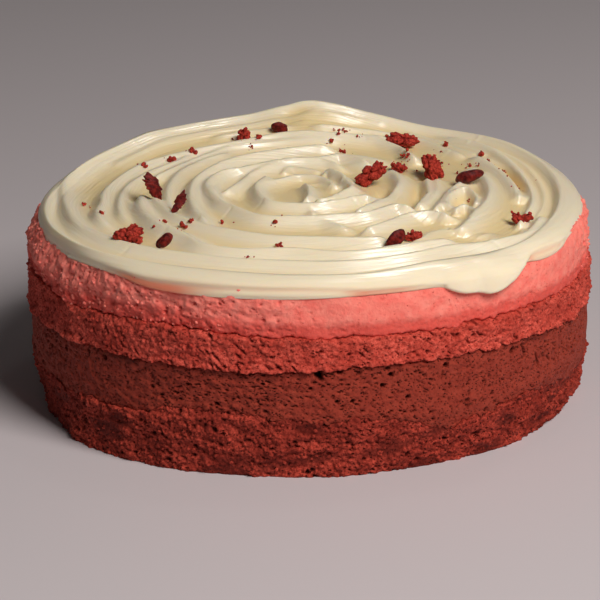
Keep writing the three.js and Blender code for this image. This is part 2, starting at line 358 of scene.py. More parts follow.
def dark_relief(places, degrees, height, base, top):
    shade = patch(degrees, 200, -0.5, 1)
    out = 0.35 * swells(places, (24, 24, 6), 21) + 0.15 * swells(places, (3, 3, 2), 22)
    out += (0.08 + 0.3 * shade) * swells(places, (1.6, 1.6, 1.1), 27)
    bubbles = pores(places, (2, 2, 0.8), 0.8, 0.5, 23)
    dots = pores(places, (1.1, 1.1, 0.6), 0.75, 0.52, 28)
    holes = pores(places, (5, 5, 3.4), 0.35, 0.26, 24)
    bands = smooth(1.6 * swells(places, (30, 30, 3), 25) + 0.7)
    bubbles *= 0.3 + 0.7 * bands
    for angle, level, half, depth in HOLES:
        away = np.hypot((degrees - angle) * ARC, (height - level) * 1.25)
        away += 0.3 * half * swells(places, 1.2, 29)
        hole = smooth((half - away) / (0.4 * half))
        holes = np.maximum(holes, hole)
        out -= depth * hole
    for angle, level, lean, half, depth in SLITS:
        along = height - level
        slit = np.exp(-((((degrees - angle) * ARC + lean * along) / 0.35) ** 2) - (along / half) ** 4)
        holes = np.maximum(holes, slit)
        out -= depth * slit
    # Painted shade under the overhanging upper sponge: patches along the top few millimetres are coloured
    # towards the pore colour.
    shade_under_overhang = smooth((3 - top + height) / 2) * smooth(1.6 * swells(places, (12, 12, 4), 30))
    hollow = np.max([holes, 0.5 * shade_under_overhang, bubbles, 0.8 * dots], axis=0)
    return out - 1.1 * bubbles - 0.6 * dots - 1.2 * holes, hollow


def upper_relief(places, degrees, height, base, top):
    arc = (degrees - 90) % 360 * ARC
    slanted = np.stack([arc + height, arc - height, 0 * arc], axis=1)
    out = 0.35 + 0.6 * swells(places, (9, 9, 6), 31) + 0.4 * swells(places, (2.8, 2.8, 1.6), 32)
    out += 0.6 * crumbs(places, (1.9, 1.9, 1.3), 33) + 0.6 * crumbs(places, (1.1, 1.1, 0.9), 35)
    slits = pores(slanted, (1.8, 7, 1), 0.5, 0.46, 38)
    gaps = pores(places, (2.6, 2.6, 1.7), 0.5, 0.42, 34)
    small = pores(places, (1.2, 1.2, 0.9), 0.65, 0.46, 36)
    overhang = 1 - smooth((height - base) / 2.5)
    out += 0.6 * overhang * (1 + swells(places, 3, 37))
    hollow = np.max([gaps, 0.8 * slits, 0.75 * small], axis=0)
    return out - gaps - 1.1 * slits - 0.45 * small, hollow


def pink_relief(places, degrees, height, base, top):
    torn = pink_tear(degrees)
    out = (0.3 + 0.2 * torn) * swells(places, (9, 9, 6), 41)
    out += (0.14 + 0.6 * torn) * swells(places, (3.6, 3.6, 2.4), 42)
    out += (0.08 + 0.3 * torn) * swells(places, (1.5, 1.5, 1), 43)
    out += torn * 0.45 * crumbs(places, (1.7, 1.7, 1.2), 47)
    # The lowest few millimetres are rougher and coloured darker towards the bottom, reaching a little
    # higher where the mousse is torn.
    strip = smooth((5.5 + torn - height + base) / (3 + torn))
    out += strip * (0.35 * crumbs(places, (1.5, 1.5, 1), 45) - 0.3)
    pits = pores(places, (2.8, 2.8, 2), 0.4, 0.36, 44)
    dashes = pores(places, (1.5, 1.5, 0.8), 0.4, 0.46, 46)
    hollow = np.max([(0.4 + 0.5 * torn) * pits, (0.35 + 0.5 * torn) * dashes, 0.75 * strip], axis=0)
    return out - (0.3 + 0.9 * torn) * pits - (0.25 + 0.6 * torn) * dashes, hollow


# %% Build the layers
FLOOR_LEVEL = {0: 0, 120: 0, 240: 0}
sponge_base = layer(
    "sponge_base", FLOOR_LEVEL, BASE_TOP, 46, base_relief, (0, 0.15), (even(0), even(1.1)), 16
)
mousse_dark = layer(
    "mousse_dark", BASE_TOP, DARK_TOP, 46, dark_relief, (0.15, 0.8), (even(1.1), even(0.5)), 32.6
)
sponge_upper = layer(
    "sponge_upper", DARK_TOP, UPPER_TOP, 32, upper_relief, (0.2, 0.7), (even(0.5), even(0.5)), 42.6
)
mousse_pink = layer(
    "mousse_pink", UPPER_TOP, PINK_TOP, 42, pink_relief, (0.8, 0), (even(0.5), pink_fray), 54
)

# %% [markdown]
# ## The swirl in the cream
# A palette knife held still while the cake turns leaves sharp crests with hollow valleys
# between. They run closer to the middle with each turn, and where the knife was lifted they
# end in tongues and petals. Each crest is a line through a few (angle, radius) points, and
# the cream falls away from it in a hollow curve, steeper on one side.

# %% The crests
# (points, height, width, fade at its start, fade at its end)
CRESTS = [
    # the eye of the swirl, and the petals round it
    ([(99, 10.5), (94, 5), (284, 1.6), (269, 9.5), (257, 14)], 2.6, 5, 6, 5),
    ([(95, 12), (71, 12), (33, 9), (14, 8.5)], 1, 3, 3, 3),
    ([(75, 18), (75, 23.5), (64, 20.5), (51, 17.5), (31, 14.5), (6, 13.5), (-12, 12), (-37, 11.5),
      (-58, 13), (-89, 14.5)], 3, 5, 9, 4),
    ([(110, 23), (105, 27), (100, 29), (88, 26.5), (75, 23)], 1.6, 4, 3, 5),
    ([(171, 15.5), (141, 15.5), (116, 17), (97, 19), (76, 16.5), (45, 11), (20, 9)], 2, 4, 3, 4),
    ([(117, 22.5), (140, 18), (173, 16), (215, 17), (239, 19), (277, 18.5), (316, 18),
      (327, 19), (333, 20.5), (331, 23), (327, 26)], 3.2, 6, 10, 4),
    ([(235, 16.5), (252, 17.5), (263, 18), (270, 20.5), (275, 27)], 1.6, 5, 5, 3),
    ([(191, 28), (174, 24), (155, 23), (134, 26), (113, 30), (99, 33), (88, 33.5), (77, 32.5),
      (60, 27.5)], 2.4, 5, 8, 10),
    ([(47, 32.5), (62, 36.5), (75, 40), (83, 35.5), (93, 34.5), (105, 33.5), (117, 31.5),
      (132, 31), (147, 33), (171, 31.5), (201, 30), (221, 31), (246, 34.5), (266, 33),
      (290, 33), (301, 34.5), (312, 33.5), (320, 34), (322, 38.5), (321, 42)], 3.3, 7, 10, 5),
    ([(294, 29.5), (305, 27.5), (317, 25.5), (341, 25), (362, 27), (376, 29.5), (389, 32),
      (399, 34), (408, 34.5)], 2.4, 5.5, 6, 7),
    ([(236, 30.5), (248, 33), (266, 33.5), (275, 34.5), (282, 39), (288, 45.5)], 1.9, 6, 8, 6),
    # the second round
    ([(75, 49.5), (85, 51), (96, 48), (110, 44.5), (125, 42), (142, 39), (163, 36.5),
      (185, 36), (208, 39.5), (229, 46.5), (243, 50)], 3.2, 7, 10, 18),
    ([(82, 45), (71, 45), (60, 43.5), (49, 41)], 1.7, 9, 9, 9),
    ([(185, 48), (200, 47.5), (219, 49), (237, 50.5), (255, 53), (271, 54), (286, 57),
      (297, 58)], 3, 7, 8, 8),
    ([(287, 48.5), (295, 46.5), (305, 43.5), (313, 42), (319, 43.5), (323, 47), (323, 50.5),
      (320, 54)], 2.8, 6, 5, 4),
    ([(207, 46), (192, 43.5), (179, 43), (165, 44), (146, 47.5), (127, 51.5), (112, 56)],
     1.9, 6, 6, 12),
    ([(164, 51.5), (148, 51), (135, 52.5), (124, 55.5), (112, 58.5), (98, 59), (86, 59), (74, 60.5)],
     2, 5, 8, 12),
    ([(214, 61), (198, 59.5), (178, 57), (159, 56), (140, 55.5), (128, 57.5)], 2, 5, 18, 6),
    ([(216, 67), (199, 66.5), (184, 63.5), (169, 62.5), (148, 62), (129, 60), (114, 60.5), (99, 63),
      (83, 62), (74, 63), (66, 64.5), (61, 63.5)], 2.6, 7, 22, 6),
    ([(74, 60), (70, 62.5), (60, 58.5), (50, 51.5), (42, 49)], 2.6, 5, 6, 6),
    ([(181, 51.5), (191, 52), (203, 54), (218, 57), (233, 60), (242, 64), (252, 64.5), (265, 62.5),
      (280, 65.5), (295, 65.5), (305, 66), (313, 68.5)], 3, 8, 6, 10),
    ([(182, 55), (200, 55.5), (215, 57), (229, 60.5)], 1.4, 5, 5, 6),
    ([(295, 63), (301, 60.5), (309, 57), (315, 57.5), (317, 62.5)], 1.2, 6, 6, 4),
    # the outer rounds
    ([(112, 80.8), (126, 80.7), (138, 80.6), (150, 80.4), (162, 80), (172, 77), (181, 75),
      (196, 73.5), (208, 73), (227, 71.5), (249, 71), (268, 70.5), (281, 71), (294, 72), (306, 71),
      (318, 75), (328, 77.5), (344, 77)], 3, 8, 30, 12),
    ([(316, 65.5), (320, 66.5), (322, 67), (321, 71), (325, 74), (335, 74.5)], 1, 5, 4, 8),
    ([(61, 77.5), (54, 76.5), (45, 75), (37, 74), (29, 72), (20, 70.3), (12, 69.5), (0, 69.8),
      (-12, 70.5), (-31, 72.5)], 2.3, 5, 20, 6),
    ([(40, 76), (25, 75.6), (12, 75), (0, 74.9), (-12, 74.8), (-25, 75)], 1.3, 3.5, 9, 9),
    ([(62, 74), (52, 72.5), (42, 71), (32, 69)], 1.3, 4, 8, 8),
    ([(162, 75.6), (154, 76.2), (147, 76.8), (140, 77.4), (127, 78.2), (116, 78.7), (106, 78.5)],
     1.3, 4, 8, 10),
    ([(150, 73), (143, 74), (132, 74.6), (123, 75), (112, 75.2), (101, 75), (94, 73.6)],
     1.4, 4.5, 8, 8),
    ([(29, 53.5), (21, 57), (5, 56), (-11, 55.5), (-27, 56.5), (-42, 60.5), (-46, 63)], 2.3, 6, 8, 6),
    ([(38, 66), (27, 64), (12, 63), (-9, 66.5)], 2.2, 8, 8, 5),
    ([(22, 40), (-3, 37), (-13, 36.5), (-33, 38.5)], 2.2, 4, 4, 5),
    ([(22, 43.5), (0, 39.5), (-12, 38.5), (-33, 40)], 1.7, 4, 4, 6),
    ([(16, 52.5), (2, 44.5), (-10, 42.5), (-33, 44.5)], 2.1, 5, 6, 5),
    # curls where the knife was lifted
    ([(333, 47.5), (340, 44.5), (349, 44), (357, 45.5), (361, 48.5), (352, 51.5), (340, 53.5)],
     2.4, 2.5, 2, 3),
    ([(330, 51), (337, 49.5), (339, 51), (334, 55), (324, 58)], 2.2, 2.2, 2, 3),
    ([(334, 44), (339, 44), (337, 47), (331, 50)], 1.8, 2.2, 2, 3),
    # faint lines at the back
    ([(90, 67), (81, 68), (70, 70), (60, 71), (47, 65.5), (35, 63)], 1.6, 5, 6, 8),
    ([(66, 72.5), (61, 74.5), (50, 70), (39, 67.5), (32, 67.5)], 1.4, 4, 6, 8),
    ([(119, 80), (114, 78), (108, 79)], 1.4, 4, 8, 8),
    ([(118, 70.5), (107, 70.5), (97, 69), (92, 68)], 1.3, 4, 8, 8),
    ([(89, 77), (82, 76), (75, 77), (67, 78)], 1.2, 4, 8, 8),
    ([(84, 78), (77, 78.5), (69, 78), (60, 77)], 1.2, 3, 5, 5),
]


LINE_STEP = 1.1


def crest_line(points):
    """Points about a step apart on a soft curve through a crest's own points."""
    degrees, radius = np.array(points, float).T
    flat = ring_places(degrees, radius, radius)[:, :2]
    flat = np.concatenate([2 * flat[:1] - flat[1:2], flat, 2 * flat[-1:] - flat[-2:-1]])
    line = []
    for p0, p1, p2, p3 in zip(flat, flat[1:], flat[2:], flat[3:]):
        parts = np.linspace(0, 1, int(np.linalg.norm(p2 - p1) / LINE_STEP) + 2)[:-1, None]
        bend = 2 * p0 - 5 * p1 + 4 * p2 - p3 + (3 * p1 - 3 * p2 + p3 - p0) * parts
        line.append(p1 + ((p2 - p0) * parts + bend * parts**2) / 2)
    return np.concatenate(line + [flat[-2:-1]])


def beside(line, flat):
    """From a line to each place: the shortest step, and how far along the line it starts."""
    starts, steps = line[:-1], np.diff(line, axis=0)
    lengths = np.linalg.norm(steps, axis=1)
    before = np.concatenate([[0], np.cumsum(lengths)[:-1]])
    from_start = flat[:, None] - starts[None]
    part = np.clip(np.sum(from_start * steps, axis=2) / lengths**2, 0, 1)
    offset = from_start - part[..., None] * steps
    nearest = np.argmin(np.linalg.norm(offset, axis=2), axis=1)
    row = np.arange(len(flat))
    along = before[nearest] + part[row, nearest] * lengths[nearest]
    return offset[row, nearest], along


# %% [markdown]
# The crests' heights are joined by a power mean, so that two crests side by side don't pile
# up into a hill. The flanks that face the back left are steep and the others wide, all the
# way round, as a knife leaves them that leans to one side. Pits are where the knife skipped.

# %% The cream's upper face
RIM_RADIUS = 80.6
CREAM_FLOOR = 60.8  # the height of the valleys near the middle
CREST_ROUND = 0.35
RAISE = 1.12  # all the crests are raised by this
SNAP = 0.28
STREAK = 0.1
PILE_POWER = 6
RIM_HEIGHTS = {
    0: 62.4, 20: 64.4, 30: 65.2, 38: 65.6, 60: 65.2, 75: 68.3, 83: 70.8, 90: 72, 95: 70.4, 104: 67.9,
    128: 66, 138: 64, 150: 62.2, 160: 60.6, 170: 59.6, 185: 59.6, 200: 60, 230: 60, 250: 60.3, 270: 60.1,
    282: 60.1, 295: 61, 310: 60.7, 330: 61.2,
}
# how far the rim lies outside its mean radius
RIM_WOBBLE = {
    0: -3.2, 12: -2.7, 22: -2.1, 32: -1.4, 46: -0.6, 60: 0, 90: 0, 165: -0.2, 185: -0.4, 202: 0.7,
    222: 1.2, 246: 0, 268: 0.6, 280: 1.3, 290: 0, 297: -0.6, 314: 1, 322: 0.6, 330: -1, 340: -2.6,
    350: -3.2,
}
RIM_CREST = 2.9
RIM_WIDTH = 6
STEEP_SIDE = math.radians(130)
STEEPNESS = 0.6
AT_ONCE = 2000000  # so many distances are worked out together
# (angle, radius, half length round the cake, half width, depth)
PITS = [
    (352, 23, 8, 2.6, 2.2), (357, 34, 9, 1.6, 1.6), (31, 41, 3, 2.5, 1.8), (347, 48.5, 4, 2.6, 2),
    (333, 51.5, 1.5, 1, 1), (334, 46, 1.2, 1, 1.2), (186, 52.8, 5, 1.2, 1.6),
    (185, 64.7, 5, 1, 1.2), (14, 66.6, 14, 1, 3.6), (92, 78, 5, 2, 2), (197, 40, 6, 2, 1),
    (178, 77, 10, 0.8, 0.8),
]


def fall(away, width):
    """The hollow curve by which cream falls away from a crest."""
    rounded = np.sqrt(away**2 + CREST_ROUND**2) - CREST_ROUND
    return np.clip(1 - rounded / width, 0, 1) ** 2


def flank_width(width, facing):
    """The width of a flank that faces along facing, two numbers for each place."""
    away = np.linalg.norm(facing, axis=1).clip(1e-6)
    steep = facing @ [math.cos(STEEP_SIDE), math.sin(STEEP_SIDE)] / away
    return width * (1 - STEEPNESS * steep)


def near_crest(flat, crest):
    """The height that one crest gives each place, and how far the place is from its line."""
    points, height, width, fade_in, fade_out = crest
    line = crest_line(points)
    reach = width * (1 + STEEPNESS)
    low, high = line.min(axis=0) - reach, line.max(axis=0) + reach
    radius = np.linalg.norm(flat, axis=1)
    line_radius = np.linalg.norm(line, axis=1)
    near = np.all((flat > low) & (flat < high), axis=1)
    near &= (radius > line_radius.min() - reach) & (radius < line_radius.max() + reach)
    result = np.zeros(len(flat))
    offsets = np.full(flat.shape, np.inf)
    index = np.flatnonzero(near)
    length = np.linalg.norm(np.diff(line, axis=0), axis=1).sum()
    for chunk in np.array_split(index, max(1, len(index) * len(line) // AT_ONCE)):
        offset, along = beside(line, flat[chunk])
        strength = smooth(along / fade_in + 0.1) * smooth((length - along) / fade_out + 0.1)
        away = np.linalg.norm(offset, axis=1)
        result[chunk] = RAISE * height * strength * fall(away, flank_width(width, offset))
        offsets[chunk[strength > 0.5]] = offset[strength > 0.5]
    return result, offsets


def swirl(flat):
    """Height of the cream above its floor, from the middle out to the rim."""
    degrees, radius = polar(flat)
    rim = fall(np.maximum(RIM_RADIUS - radius, 0), flank_width(RIM_WIDTH, -flat))
    piled = (RIM_CREST * rim) ** PILE_POWER
    for crest in CRESTS:
        piled += near_crest(flat, crest)[0] ** PILE_POWER
    height = piled ** (1 / PILE_POWER)
    for angle, middle, half_length, half_width, depth in PITS:
        turn = (degrees - angle + 180) % 360 - 180
        span = np.radians(turn) * middle / half_length
        across = (radius - middle) / half_width
        height -= depth * np.exp(-(span**2) - across**2)
    streak = np.stack([radius + degrees * 0.036, degrees * 0.06, 0 * radius], axis=1)
    calm = smooth(radius / 12)
    height += calm * STREAK * swells(streak, (1.5, 2, 1), 53)
    return height + calm * 0.15 * swells(streak, (4, 3, 1), 52)


def snapped(flat):
    """Moves the places that almost lie on a crest onto it, so that its edge stays sharp."""
    moved = flat.copy()
    for crest in CRESTS:
        offsets = near_crest(flat, crest)[1]
        close = np.linalg.norm(offsets, axis=1) < SNAP
        moved[close] = flat[close] - offsets[close]
    return moved


def cream_floor(flat):
    degrees, radius = polar(flat)
    lean = -0.5 * np.sin(np.radians(degrees + 180)) * radius / RIM_RADIUS
    out = smooth((radius - 52) / (RIM_RADIUS - 52))
    return (CREAM_FLOOR + lean) * (1 - out) + (around(RIM_HEIGHTS, degrees) - RIM_CREST) * out


def cream_height(flat):
    return cream_floor(flat) + swirl(flat)


print(len(CRESTS), "crests, height in the middle", cream_height(np.zeros((1, 2))).round(1))

# %% [markdown]
# ## Shaping the cream
# The upper face is a square grid laid out as a disc, whose squares stay nearly even from the
# middle to the rim. Its border is extruded ring by ring into the outer face, the rounded lip
# that overhangs the pink mousse, and the underside, which a fan of faces closes.

# %% Make the cream
GRID = 268
SOFTEN = 3
FACE_RINGS = 17
LIP_RINGS = 4
LIP_ROUND = 0.9
UNDERSIDE = 55
FACE_STREAK = 0.16
RING_SCALE = 0.01
CREAM_EDGE = {
    5: 57.6, 20: 58.3, 30: 59.6, 76: 60, 120: 59, 150: 58, 165: 57.2, 178: 56.3, 187: 55.8, 194: 55.2,
    201: 54.4, 207: 54.5, 213: 54.8, 225: 55.3, 231: 55.2, 236: 54.3, 240: 53.9, 249: 53.8, 268: 54.1,
    281: 54.5, 291: 54.6, 295: 54.5, 297: 53.9, 298.3: 53, 300: 52.2, 303.3: 51.5, 304.5: 51.1, 306: 50.6,
    308: 51.1, 310: 52.2, 312.3: 53.4, 314.2: 54.6, 316.2: 55.6, 319: 55.5, 322: 55.1, 326: 55, 330: 55.4,
    334: 56.6, 338: 57.2, 350: 57.3,
}
# how far the lower edge stands out from the stack, with the two bulges of the lobe
EDGE_OUT = {
    0: -0.8, 20: -0.6, 60: 0.7, 150: 0.5, 178: -0.8, 190: -1.2, 206: -1, 216: -0.3, 226: 0.2, 238: 0.7,
    290: 0.7, 296: 0.8, 298: 1.5, 300.5: 2.2, 302.5: 2, 304: 1.6, 305.5: 2.3, 308: 3.5, 311: 3.8, 314: 3,
    316.5: 2, 319: 0.9, 323: 0.6, 331: 0.6, 335: 0, 341: -0.8,
}
# below the bulge the cream is smeared thin over the mousse: 1 where the film is 2.9 mm high
FILM = {
    200: 0, 220: 0.05, 226: 0.2, 231: 0.4, 236: 0.62, 240: 0.8, 245: 0.93, 266: 1, 272: 0.85, 277: 0.6,
    281: 0.42, 288: 0.35, 292: 0.2, 297: 0, 303: 0, 316: 0, 319: 0.5, 322: 0.8, 327: 0.75, 331: 0.4,
    335: 0.1, 338: 0,
}
# 1 where the film's lower half is a second, small roll of cream
ROLL = {160: 0, 242: 0, 258: 1, 273: 1, 281: 0, 317: 0, 321: 0.5, 340: 0.5, 348: 0}
FILM_HEIGHT = 2.9
FILM_SHARE = 0.35
FILM_THICK = 0.5


def square_to_disc(x, y):
    """Lays a square from -1 to 1 out as a disc, each square ring as a circle."""
    wide = np.abs(x) >= np.abs(y)
    radius = np.where(wide, x, y)
    other = np.where(wide, y, x) / np.where(radius == 0, 1, radius)
    a = np.where(wide, math.pi / 4 * other, math.pi / 2 - math.pi / 4 * other)
    return radius * np.cos(a), radius * np.sin(a)


def softened(heights, times):
    """Blends each point of the grid with its four neighbours, again and again."""
    sheet = heights.reshape(GRID + 1, GRID + 1).copy()
    for _ in range(times):
        beside_it = sheet[:-2, 1:-1] + sheet[2:, 1:-1] + sheet[1:-1, :-2] + sheet[1:-1, 2:]
        sheet[1:-1, 1:-1] += (beside_it / 4 - sheet[1:-1, 1:-1]) / 2
    return sheet.ravel()


def cream_blank(name):
    bpy.ops.object.select_all(action="DESELECT")
    bpy.ops.mesh.primitive_grid_add(x_subdivisions=GRID, y_subdivisions=GRID, size=2 * MM)
    piece = bpy.context.object
    piece.name = name
    x, y, height = points_of(piece).T
    x, y = square_to_disc(x, y)
    move_points(piece, np.stack([x, y, height], axis=1))
    bpy.ops.object.mode_set(mode="EDIT")
    bpy.ops.mesh.select_mode(type="EDGE")
    bpy.ops.mesh.select_all(action="DESELECT")
    bpy.ops.mesh.select_non_manifold()
    for ring in range(FACE_RINGS + LIP_RINGS + 2):
        wider = (1 + RING_SCALE * (ring + 1)) / (1 + RING_SCALE * ring)
        bpy.ops.mesh.extrude_region_move()
        bpy.ops.transform.resize(value=(wider, wider, 1))
    bpy.ops.mesh.extrude_region_move(TRANSFORM_OT_translate={"value": (0, 0, -MM)})
    bpy.ops.mesh.merge(type="CENTER")
    bpy.ops.mesh.select_all(action="SELECT")
    bpy.ops.mesh.normals_make_consistent(inside=False)
    bpy.ops.object.mode_set(mode="OBJECT")
    piece.data.shade_smooth()
    return piece


def outer_face(degrees, ring):
    """Radius, height and thinness of the ring that is so many steps outside the rim."""
    crest_radius = RIM_RADIUS + around(RIM_WOBBLE, degrees)
    crest = around(RIM_HEIGHTS, degrees)
    edge = around(CREAM_EDGE, degrees)
    film = np.clip(around(FILM, degrees), 0, 1)
    part = np.clip(ring / FACE_RINGS, 0, 1)
    roll = np.clip(around(ROLL, degrees), 0, 1)
    bulge_share = 1 - FILM_SHARE * film
    bulge = np.clip(part / bulge_share, 0, 1)
    below = np.where(film > 0.01, np.clip((part - bulge_share) / (FILM_SHARE * film + 1e-9), 0, 1), 0)
    foot = edge + FILM_HEIGHT * film
    foot_radius = stack_radius(degrees, foot) + around(EDGE_OUT, degrees)
    hang = np.clip((around(PINK_TOP, degrees) - foot - 1) / 4, 0, 1)
    spread = 1 - (1 - bulge) ** (1.5 + 1.6 * hang)
    radius = crest_radius + (foot_radius - crest_radius) * spread
    height = crest - (crest - foot - LIP_ROUND) * bulge**1.25
    height -= (FILM_HEIGHT * film + 0.7 * LIP_ROUND * film) * below
    film_radius = stack_radius(degrees, height) + FILM_THICK
    film_radius += 0.5 * roll * np.sin(math.pi * smooth((below - 0.3) / 0.7))
    radius += (film_radius - radius) * smooth(2.5 * below)
    lip = LIP_ROUND * (1 - 0.7 * film)
    curl = np.clip((ring - FACE_RINGS) / LIP_RINGS, 0, 1) * math.pi / 2
    radius -= lip * (1 - np.cos(curl))
    height -= lip * np.sin(curl)
    tucked = np.clip(ring - FACE_RINGS - LIP_RINGS, 0, 2)
    height = np.where(tucked > 1, UNDERSIDE, height + 0.3 * tucked)
    thinness = 0.3 * smooth(4 * (part - bulge_share) + 1) + 0.7 * smooth(1.6 * below)
    thinness *= np.clip(2 * film, 0, 1)
    thinness *= (1 - 0.4 * roll) * (1 - 0.85 * roll * smooth((below - 0.3) / 0.3))
    return radius - 1.2 * tucked - 10 * (tucked > 1), height, thinness


cream = cream_blank("cream_swirl")
degrees, reach, level = polar(points_of(cream))
ring = np.round((reach - 1) / RING_SCALE)
bottom = level < -0.5
is_top = (ring <= 0) & ~bottom
face_radius, face_height, thin = outer_face(degrees, ring)
streak = np.stack([degrees * 0.05, face_height, 0 * degrees], axis=1)
face_radius += FACE_STREAK * (swells(streak, (1, 1.5, 1), 61) + 0.5 * swells(streak, (0.8, 0.7, 1), 62))
places = ring_places(degrees, face_radius, face_height)
flat = snapped(ring_places(degrees, reach * RIM_RADIUS, level)[is_top][:, :2])
top = softened(cream_height(flat), SOFTEN)
# Painted shade: the deeper a place of the upper face lies below its crests, the darker and yellower its
# cream is coloured, standing in for the shade and bounced light in the valleys.
valley_shade = np.zeros(len(places))
valley_shade[is_top] = 1 - np.clip((top - cream_floor(flat)) / 2.8, 0, 1)
radius = np.linalg.norm(flat, axis=1)
wobble = around(RIM_WOBBLE, degrees[is_top]) * smooth((radius - 62) / 18)
places[is_top] = np.concatenate([flat * (1 + wobble / radius.clip(1))[:, None], top[:, None]], axis=1)
places[bottom] = (0, 0, UNDERSIDE)
move_points(cream, places)
keep_attribute(cream, "valley_shade", valley_shade)
keep_attribute(cream, "thin", thin * ~bottom)
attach(cream, "root")
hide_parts("cream_swirl")
print("cream", len(cream.data.polygons), "faces, top", places[:, 2].max())

# %% [markdown]
# ## Finishes
# Colours are given as seen on a screen and turned into light by the usual curve. Cream and
# mousse let light in a little way, so they have subsurface light. Pits and pores are painted
# darker than the rest, as painted shade, because little light comes out of them.


# %% Materials
BLACK, GREY, WHITE = (0, 0, 0, 1), (0.45, 0.45, 0.45, 1), (1, 1, 1, 1)


def light_of(red, green, blue):
    """Linear colour, and full cover, of a screen colour from 0 to 255."""
    parts = [part / 255 for part in (red, green, blue)]
    return [*(p / 12.92 if p < 0.04 else ((p + 0.055) / 1.055) ** 2.4 for p in parts), 1]


class Finish:
    """A material whose nodes are added one by one."""

    def __init__(self, name, roughness, specular):
        self.name = name
        self.material = bpy.data.materials.new(name)
        self.material.use_nodes = True
        self.tree = self.material.node_tree
        self.shader = self.tree.nodes["Principled BSDF"]
        self.feed(self.shader, {"Roughness": roughness, "Specular IOR Level": specular})
        self.place = self.node("TexCoord", {}).outputs["Object"]

    def feed(self, node, inputs):
        """Gives inputs their values. A value that is another node's output is joined on."""
        for name, value in inputs.items():
            if isinstance(value, bpy.types.NodeSocket):
                self.tree.links.new(value, node.inputs[name])
            else:
                node.inputs[name].default_value = value

    def node(self, kind, inputs, **settings):
        made = self.tree.nodes.new("ShaderNode" + kind)
        for name, value in settings.items():
            setattr(made, name, value)
        self.feed(made, inputs)
        return made

    def number(self, operation, *inputs):
        return self.node("Math", dict(enumerate(inputs)), operation=operation).outputs[0]

    def vector(self, operation, *inputs):
        return self.node("VectorMath", dict(enumerate(inputs)), operation=operation).outputs[0]

    def attribute(self, name):
        return self.node("Attribute", {}, attribute_name=name).outputs["Fac"]

    def noise(self, size, detail=3, roughness=0.5):
        """A noise whose swells are size millimetres wide."""
        inputs = {"Scale": 1 / (size * MM), "Detail": detail, "Roughness": roughness}
        return self.node("TexNoise", {"Vector": self.place, **inputs}).outputs["Fac"]

    def dots(self, size, flat, widest):
        """Scattered dots: 1 inside and 0 outside, size millimetres apart, flattened by flat."""
        bent = self.node("TexNoise", {"Vector": self.place, "Scale": 2 / (size * MM)})
        moved = self.vector("MULTIPLY_ADD", bent.outputs["Color"], (0.6 * size * MM,) * 3, self.place)
        squeezed = self.vector("MULTIPLY", moved, (1, 1, flat))
        made = self.node("TexVoronoi", {"Vector": squeezed, "Scale": 1 / (size * MM)}).outputs
        uneven = self.number("MULTIPLY_ADD", made["Color"], 0.5, made["Distance"])
        return self.ramp(uneven, (0.7 * widest, WHITE), (widest, BLACK))

    def streaks(self, size, stretch):
        """Fine lines that run round the cake, size millimetres apart."""
        flat = self.vector("MULTIPLY", self.place, (1, 1, 0))
        reach = self.node("VectorMath", {0: flat}, operation="LENGTH").outputs["Value"]
        rows = self.node("CombineXYZ", {"Z": self.number("MULTIPLY", reach, 1 / (size * MM))})
        turned = self.vector("MULTIPLY", self.vector("NORMALIZE", flat), (stretch,) * 3)
        place = self.vector("ADD", turned, rows.outputs[0])
        return self.node("TexNoise", {"Vector": place, "Scale": 1}).outputs["Fac"]

    def ramp(self, value, *stops):
        """Colours or greys along a value, through two (position, colour) stops."""
        made = self.node("ValToRGB", {"Fac": value})
        for element, (position, colour) in zip(made.color_ramp.elements, stops):
            element.position = position
            element.color = colour
        return made.outputs["Color"]

    def mix(self, share, one, other):
        """The first colour where share is 0, and the other where it is 1."""
        return self.node("Mix", {0: share, 6: one, 7: other}, data_type="RGBA").outputs[2]

    def colour(self, value):
        self.feed(self.shader, {"Base Color": value})

    def bump(self, value, height):
        made = self.node("Bump", {"Height": value, "Distance": height * MM})
        self.feed(self.shader, {"Normal": made.outputs["Normal"]})

    def subsurface(self, weight, depth, spread=(1, 0.5, 0.3)):
        names = ("Subsurface Weight", "Subsurface Scale", "Subsurface Radius")
        self.feed(self.shader, dict(zip(names, (weight, depth * MM, spread))))


def dress(piece, finish):
    piece.data.materials.clear()
    piece.data.materials.append(finish.material)
    print(piece.name, "is", finish.name, len(piece.data.polygons), "faces")


def add_pores(finish, skin, pore, dots, grain, depth):
    """Paints a skin's pores and dots dark, as painted shade, and makes the dots pits in its grain."""
    hollow = finish.mix(finish.attribute("hollow"), skin, light_of(*pore))
    finish.colour(finish.mix(dots, hollow, light_of(*pore)))
    finish.bump(finish.number("SUBTRACT", grain, dots), depth)
    return finish


def crumb_finish(name, dark, light, pore, fine, depth, widest):
    """Sponge: pale crumbs, gaps painted dark as shade, stains and a rough skin. Sizes in millimetres."""
    finish = Finish(name, 0.9, 0.3)
    grain = finish.noise(fine, 5, 0.75)
    # The grain that bumps the skin also colours it: its low gaps are painted dark as shade, its crumbs
    # pale.
    crumbs_and_gap_shade = finish.ramp(grain, (0.36, light_of(*dark)), (0.6, light_of(*light)))
    stains = finish.ramp(finish.noise(8, 3), (0.38, GREY), (0.6, WHITE))
    stained = finish.mix(stains, light_of(*dark), crumbs_and_gap_shade)
    return add_pores(finish, stained, pore, finish.dots(fine, 1.4, widest), grain, depth)


def mousse_finish(name, dark, light, pore, fine, depth, widest):
    """Mousse: an even colour, a finely pitted skin and bubbles darkened by painted shade."""
    finish = Finish(name, 0.75, 0.25)
    even = finish.ramp(finish.noise(3, 4), (0.3, light_of(*dark)), (0.7, light_of(*light)))
    finish.subsurface(0.2, 1)
    grain = finish.noise(fine, 4, 0.65)
    return add_pores(finish, even, pore, finish.dots(fine, 2, widest), grain, depth)


